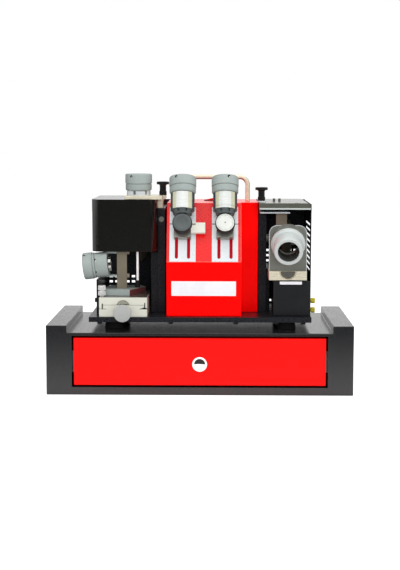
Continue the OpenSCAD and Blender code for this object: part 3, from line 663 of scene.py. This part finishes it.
PORT_TILT, PORT_YAW = math.radians(17.5), math.radians(2)
PORT_OUT = Vector((-math.sin(PORT_YAW) * math.cos(PORT_TILT),
                   -math.cos(PORT_YAW) * math.cos(PORT_TILT), -math.sin(PORT_TILT)))
PORT_X, PORT_Y = 174.0, -77.0       # middle and front face of the port's plate
RING_R, SLOPE_R, SLEEVE_OUT_R, BORE_R = 34.0, 29.8, 28.5, 20.95
RIM_END, SLOPE_END, SLEEVE_END = 3.3, 8.8, 42   # along the ring's axis, from the boss on
RING_STEPS = 64
boss_length = RING_R * math.tan(PORT_TILT) + 0.3
port = frame_at(Vector((PORT_X, PORT_Y, 295.5)) + PORT_OUT * boss_length, PORT_OUT)

Shape().turned(
    [(BORE_R, 0), (RING_R - 0.4, 0), (RING_R, 0.4), (RING_R, RIM_END - 0.5),
     (RING_R - 0.5, RIM_END), (SLOPE_R, SLOPE_END), (SLEEVE_OUT_R, SLOPE_END + 0.4),
     (SLEEVE_OUT_R, SLEEVE_END - 3), (SLEEVE_OUT_R - 0.6, SLEEVE_END - 1.4),
     (SLEEVE_OUT_R - 2, SLEEVE_END), (BORE_R + 1.2, SLEEVE_END), (BORE_R, SLEEVE_END - 1),
     (BORE_R, 0)], 72, port
).piece("port_ring_turned", "port_grey", "port_dial", replaces="port_ring")

MARKS = 48
slope = math.atan2(RING_R - SLOPE_R, SLOPE_END - RIM_END)
on_slope = Matrix.Translation((RING_R - 0.9, 0, 3.75)) @ Matrix.Rotation(-slope, 4, "Y")
marks = Shape()
for index in range(MARKS):
    marks.prism(rectangle(-MARK_SUNK, MARK_OUT, -0.22, 0.22), 0,
                4.4 if index % 4 == 0 else 2.8, port @ turn_z(360 * index / MARKS) @ on_slope)
marks.piece("port_marks", "knob_black", "port_dial")

Shape().turned([(BORE_R - 0.02, 38), (BORE_R - 0.4, 37), (BORE_R - 0.4, 4), (BORE_R - 0.02, 3)],
               64, port).piece("port_bore_lining", "bore_grey", "port_dial")

PORT_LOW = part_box("port_plate")[0].z / MM
PORT_HALF, PORT_TALL, PORT_CORNER, PORT_DEEP = 37.5, 91.0, 16.0, 6.0


def port_plate_outline(inset):
    """The plate's outline in x and z, from its foot and over its round top corners."""
    half, high, bend = PORT_HALF - inset, PORT_LOW + PORT_TALL - inset, PORT_CORNER - inset
    points = [(PORT_X - half, PORT_LOW), (PORT_X + half, PORT_LOW)]
    for corner, middle in enumerate([PORT_X + half - bend, PORT_X - half + bend]):
        for turn in quarter_turn(corner):
            points.append((middle + bend * math.cos(turn), high - bend + bend * math.sin(turn)))
    return points


def upright(outline, y):
    return [Vector((x, y, z)) for x, z in outline]


def out_to(outline, centre, away):
    """Where the way from centre along away, both in x and z, leaves a closed outline."""
    reach = math.inf
    for (x0, z0), (x1, z1) in zip(outline, outline[1:] + outline[:1]):
        side_x, side_z = x1 - x0, z1 - z0
        cross = away.x * side_z - away.z * side_x
        if abs(cross) > 1e-9:
            along = ((x0 - centre.x) * side_z - (z0 - centre.z) * side_x) / cross
            share = ((x0 - centre.x) * away.z - (z0 - centre.z) * away.x) / cross
            if 0 < along < reach and -1e-6 <= share <= 1 + 1e-6:
                reach = along
    return Vector((centre.x + away.x * reach, PORT_Y, centre.z + away.z * reach))


def down_to_plate(point, y):
    """The point slid back along the port's axis to a depth of y."""
    return point + PORT_OUT * ((y - point.y) / PORT_OUT.y)


# Painted highlight: a light rim along the front edge of the port's plate
edge = Shape()
edge.join([edge.loop(upright(port_plate_outline(inset), y)) for inset, y in
           ((0, PORT_Y + 0.1), (0, PORT_Y - 0.25), (1.1, PORT_Y - 0.25), (1.1, PORT_Y + 0.1))])
edge.piece("port_plate_edge_highlight", "gauge_aluminium", "frame")

# The plate with its bore, and the slanted boss that the ring turns on
turns = full_turn(RING_STEPS)
bore_rim = [port @ circle_point(BORE_R, turn) for turn in turns]
boss_rim = [port @ circle_point(RING_R, turn) for turn in turns]
bore = [down_to_plate(point, PORT_Y) for point in bore_rim]
boss_foot = [down_to_plate(point, PORT_Y + 0.5) for point in boss_rim]
centre = sum(bore, Vector()) / RING_STEPS
border = [out_to(port_plate_outline(0), centre, (point - centre).normalized()) for point in bore]
back = Vector((0, PORT_DEEP, 0))
bored = Shape()
bored.join([bored.loop(points) for points in
            (bore, border, [p + back for p in border], [p + back for p in bore], bore)])
bored.join([bored.loop(points) for points in (boss_foot, boss_rim, bore_rim)])
bored.merged().piece("port_plate_bored", "plate_olive", "frame", replaces="port_plate")

half_round = [circle_point(14.6, math.pi * (1 + step / 16)).xy for step in range(17)]
Shape().prism(half_round, 0, 3.4, facing(PORT_X, -79, 237.2), taper=1.2).piece(
    "port_button", "ground_mirror", "frame")

# ---------------------------------------------------------------- chuck caps

CAP_R, NOSE_R = 26.75, 15.3


def cap(side, foot, along, length, groove, hole_turn):
    """A chuck's cap with its groove, and a pin in a hole drawn as a dark disc of painted shade with
    a dot of painted highlight, in place of the CAD one.
    """
    name, body = f"cap_{side}_turned", f"cap_{side}"
    place = frame_at(foot, along)
    Shape().turned(
        [(NOSE_R, 0.8), (CAP_R - 2.9, 0.8), (CAP_R - 2.2, 1.1), (CAP_R - 0.8, 3),
         (CAP_R - 0.6, 3.6), (CAP_R - 0.6, groove - 0.3), (CAP_R - 1.0, groove),
         (CAP_R - 2, groove + 0.3), (CAP_R - 2, groove + 1.3), (CAP_R - 0.4, groove + 1.6),
         (CAP_R, groove + 2.1), (CAP_R, length - 2.2), (CAP_R - 0.3, length - 1.2),
         (CAP_R - 1.2, length - 0.3), (CAP_R - 2.2, length), (9, length), (8, length - 1),
         (8, length - 8), (NOSE_R, length - 8), (NOSE_R, 0.8)], 64, place
    ).piece(name, "cap_grey", body, replaces=f"chuck_cap_{side}")
    outwards = Matrix.Rotation(math.pi / 2, 4, "Y")
    hole = place @ turn_z(hole_turn) @ Matrix.Translation((CAP_R - 0.4, 0, length - 5))
    # Painted shade: a dark disc stands for the hole
    Shape().turned([(0, 0.5), (2.5, 0.5), (2.7, 0.3), (0, 0)], 20, hole @ outwards).piece(
        name + "_pin_hole_shade", "rubber", body)
    # Painted highlight: a small white disc for the glint on the pin
    glint = hole @ Matrix.Translation((0.45, 0.9, -1.2)) @ outwards
    Shape().turned([(0, 0.15), (0.7, 0.1), (0.7, 0), (0, 0)], 12, glint).piece(
        name + "_pin", "white_painted_highlight", body)


for side, hole_turn in (("left", -118), ("right", -74)):
    cap(side, panel_point(GAUGE_X[side], 28, 132), PANEL_UP, length=34, groove=13.5,
        hole_turn=hole_turn)
cap("top", (-124.5, -33, 394.5), UP, length=34, groove=13.5, hole_turn=-120)
SIDE_TILT = math.radians(6.2)
cap("side", (-209.5, -55, 246.2), (-math.cos(SIDE_TILT), 0, -math.sin(SIDE_TILT)),
    length=25, groove=4.5, hole_turn=150)

# ---------------------------------------------------------------- clamp screw and saddle

Shape().socket_screw(facing(-78.5, -46, 338), radius=5.4, height=1.6).piece(
    "clamp_screw", "plate_olive", "frame")

# Painted shade: thin black sheets for the screw slots and the dovetail's corners in the saddle's
# face
slots = Shape()
for outline in (rectangle(-194.5, -192.4, 163.2, 174), rectangle(-110.3, -108.3, 164.2, 176),
                [(-199, 163.9), (-188, 163.9), (-183.5, 163.1), (-199, 163.1)],
                [(-121, 163.1), (-103, 163.1), (-103, 163.9), (-110, 167)]):
    slots.prism(outline, 0, 0.06, facing(0, -100, 0))
slots.piece("saddle_slot_shade", "knob_black", "saddle_unit")

# ---------------------------------------------------------------- top cover

COVER_LEFT, COVER_RIGHT = 117.0, 218.5
COVER_FRONT, COVER_BACK = -77.0, 112.7
COVER_FOOT = COVER_TOP - 12.5
COVER_CORNER = 8.0
COVER_WALL = 2.0


def cover_section(inset):
    """The cover's section in x and z from foot to foot, inset from its outer face."""
    right, top, bend = COVER_RIGHT - inset, COVER_TOP - inset, COVER_CORNER - inset
    arc = [(right - bend + bend * math.sin(turn), top - bend + bend * math.cos(turn))
           for turn in quarter_turn()]
    left = COVER_LEFT + inset
    return [(left, COVER_FOOT), (left, top)] + arc + [(right, COVER_FOOT)]


studs = Shape()
for x in (149, 160):
    studs.turned([(0, 6), (2.2, 6), (2.6, 5.4), (2.6, 0), (0, 0)], 18, standing(x, 0, COVER_TOP))
studs.piece("cover_studs", "cover_olive", "frame")

SECTION_ALONG_Y = Matrix(((1, 0, 0, 0), (0, 0, 1, 0), (0, 1, 0, 0), (0, 0, 0, 1)))
shell = cover_section(0) + list(reversed(cover_section(COVER_WALL)))
cover = Shape().prism(
    shell, COVER_FRONT + COVER_WALL, COVER_BACK, SECTION_ALONG_Y
).prism(
    cover_section(0), COVER_FRONT, COVER_FRONT + COVER_WALL, SECTION_ALONG_Y
).merged().piece("top_cover_folded", "cover_olive", "frame", replaces="top_cover")
# Painted highlight: a lighter olive on the cover's upward faces
paint(cover, "cover_top_painted_highlight", lambda at, normal: normal.z > 0.7)

Shape().turned([(0, 2.5), (8, 2.5), (8.5, 2), (8.5, 0), (0, 0)], 32,
               standing(122.4, -28, COVER_TOP)).piece("feed_boss", "gauge_aluminium", "frame")
# Painted shade: a thin black triangle for the notch in the cover's top
Shape().prism([(186, -70), (198, -70), (192, -61)], 0, 0.12, standing(0, 0, COVER_TOP)).piece(
    "cover_notch_shade", "knob_black", "frame")

# Painted highlight: lighter pink strips along the edges of the sloping panel
Shape().prism(
    rectangle(-73, 73, -0.1, 0.9), 0, 0.12, on_panel(7.5, 0, 0.2)
).prism(
    rectangle(-0.6, 0.3, -58, 58), 0, 0.12, on_panel(81, 0, 60)
).piece("panel_edge_highlight", "panel_painted_highlight", "frame")

# ---------------------------------------------------------------- nuts

nuts = Shape()
for z in (BASE_TOP + 7.5, BASE_TOP + 26.5):
    place = frame_at((220, -45, z), ACROSS, UP)
    nuts.turned([(0, 3), (4, 3), (4, 0), (0, 0)], 24, place)
    nuts.prism(knurled_outline(5.75, 0.5, 22), 3, 11, place, taper=0.8)
nuts.piece("thumb_screws_knurled", "brass", "frame", replaces="thumb_screws")

nuts = Shape()
place = standing(-196, -80, 186.5)
nuts.turned([(0, 21.5), (4, 21.5), (4, 0), (0, 0)], 24, place)
for low in (2, 12.5):
    nuts.prism(knurled_outline(7.5, 0.6, 18), low, low + 9, place, taper=1.2)
nuts.piece("lock_nuts_knurled", "bright_chrome", "saddle_unit", replaces="lock_nuts")

# ---------------------------------------------------------------- drawer pull

PULL_Z = 61.0
DISH_R, DISH_DEPTH = 10.8, 4.2
pull_place = facing(0, -144, PULL_Z)
ball_r = (DISH_R ** 2 + DISH_DEPTH ** 2) / (2 * DISH_DEPTH)
turns = [math.asin(DISH_R / ball_r) * step / 10 for step in range(11)]
bowl = [(ball_r * math.sin(turn), -DISH_DEPTH - 0.2 + ball_r * (1 - math.cos(turn)))
        for turn in turns]
# The dish in painted light: white painted highlight below, painted shade above
dish = Shape().turned(bowl, 64, pull_place).piece("pull_dish", "white_painted_highlight", "drawer", sharp=60)
# Painted shade on the dish's upper half
paint(dish, "dish_painted_shade", lambda at, normal: at.z > PULL_Z)
# Painted highlight: the pull's chrome ring in white
Shape().turned(
    [(DISH_R, -0.2), (11.3, 0.8), (14, 0.8), (14.5, 0), (12.9, 0), (12.9, -11), (0, -11)],
    64, pull_place).piece("pull_ring", "white_painted_highlight", "drawer", replaces="drawer_pull")

# ---------------------------------------------------------------- camera

camera_data = bpy.data.cameras.new("camera")
camera_data.lens = 75.47
camera_data.sensor_width = 36
camera_data.sensor_fit = "AUTO"
camera = bpy.data.objects.new("camera", camera_data)
camera.location = (0.0351, -2.4401, 0.4926)
camera.rotation_euler = (math.radians(83.16), math.radians(-0.07), math.radians(0.87))
bpy.context.collection.objects.link(camera)
bpy.context.scene.camera = camera

# ---------------------------------------------------------------- lamps, floor and studio


def area_light(name, place, target, size, power):
    """A softbox that lights the machine but isn't mirrored in it."""
    lamp = bpy.data.lights.new(name, "AREA")
    lamp.shape = "RECTANGLE"
    lamp.size, lamp.size_y = size
    lamp.energy = power
    holder = bpy.data.objects.new(name, lamp)
    holder.visible_glossy = False
    holder.location = place
    direction = Vector(target) - Vector(place)
    holder.rotation_euler = direction.to_track_quat("-Z", "Y").to_euler()
    bpy.context.collection.objects.link(holder)


area_light("overhead", (0.1, -0.3, 1.9), target=(0, 0, 0.2), size=(1.8, 1.4), power=21)
area_light("front", (0.3, -2.7, 0.8), target=(0.05, 0, 0.25), size=(1.0, 0.8), power=26)
area_light("front_left", (-1.5, -2.1, 1.0), target=(0, 0, 0.25), size=(1.1, 1.3), power=11)
area_light("front_right", (1.9, -1.5, 0.9), target=(0, 0, 0.25), size=(0.9, 1.2), power=13)


def floor_material(colour, glow, mirrored_far, mirrored_near):
    """White to the camera. In mirrors it is light by the machine and dark further in front."""
    material = bpy.data.materials.new("floor_white")
    material.use_nodes = True
    graph = Graph(material.node_tree)
    shader = graph.nodes["Principled BSDF"].inputs
    shader["Roughness"].default_value = 0.9
    shader["Emission Color"].default_value = (1, 1, 1, 1)
    strength = graph.math("MULTIPLY", graph.seen_directly(), glow)
    graph.links.new(strength, shader["Emission Strength"])
    place = graph.nodes.new("ShaderNodeTexCoord").outputs["Object"]
    y = graph.add("SeparateXYZ", {"Vector": place}, "Y")
    grey = graph.ramp(y, -0.95, -0.2, mirrored_far, mirrored_near)
    tone = graph.blend(graph.mirrored(), colour, grey, data_type="RGBA")
    graph.links.new(tone, shader["Base Color"])
    return material


floor_mesh = bpy.data.meshes.new("floor")
floor_bm = bmesh.new()
bmesh.ops.create_grid(floor_bm, x_segments=4, y_segments=4, size=6)
floor_bm.to_mesh(floor_mesh)
floor_bm.free()
floor_mesh.materials.append(
    floor_material(colour=(0.8, 0.8, 0.8, 1), glow=0.72, mirrored_far=0.02, mirrored_near=0.8))
floor = bpy.data.objects.new("floor", floor_mesh)
floor.location = (0, 0, -0.0004)    # just under the feet
bpy.context.collection.objects.link(floor)


def studio(diffuse, room, sides, backdrop, softbox):
    """World light: white to the camera, even for diffuse light, and a studio for mirrors.

    Mirrors see a bright backdrop right behind the machine, a softbox high up, grey sides
    and a dim room in front.
    """
    world = bpy.data.worlds.new("studio")
    world.use_nodes = True
    world.cycles.sampling_method = "NONE"
    bpy.context.scene.world = world
    graph = Graph(world.node_tree)
    direction = graph.nodes.new("ShaderNodeSeparateXYZ")
    view = graph.nodes.new("ShaderNodeTexCoord").outputs["Generated"]
    graph.links.new(view, direction.inputs["Vector"])
    aside = graph.math("ABSOLUTE", direction.outputs["X"])
    above = graph.math("SUBTRACT", direction.outputs["Z"], graph.ramp(aside, 0, 1, 0, 0.5))
    behind = graph.ramp(direction.outputs["Y"], 0.93, 0.985, room, backdrop)
    high = graph.ramp(above, 0.3, 0.42, room, softbox)
    beside = graph.ramp(aside, 0.75, 0.88, room, sides)
    mirrored = graph.math("MAXIMUM", graph.math("MAXIMUM", behind, high), beside)
    level = graph.ramp(graph.seen_directly(), 0, 1, diffuse, 1)
    level = graph.blend(graph.mirrored(), level, mirrored)
    background = graph.nodes["Background"].inputs
    graph.links.new(level, background["Strength"])
    background["Color"].default_value = (1, 1, 1, 1)


studio(diffuse=0.5, room=0.03, sides=0.8, backdrop=1.0, softbox=1.0)

bpy.context.scene.view_settings.view_transform = "Standard"
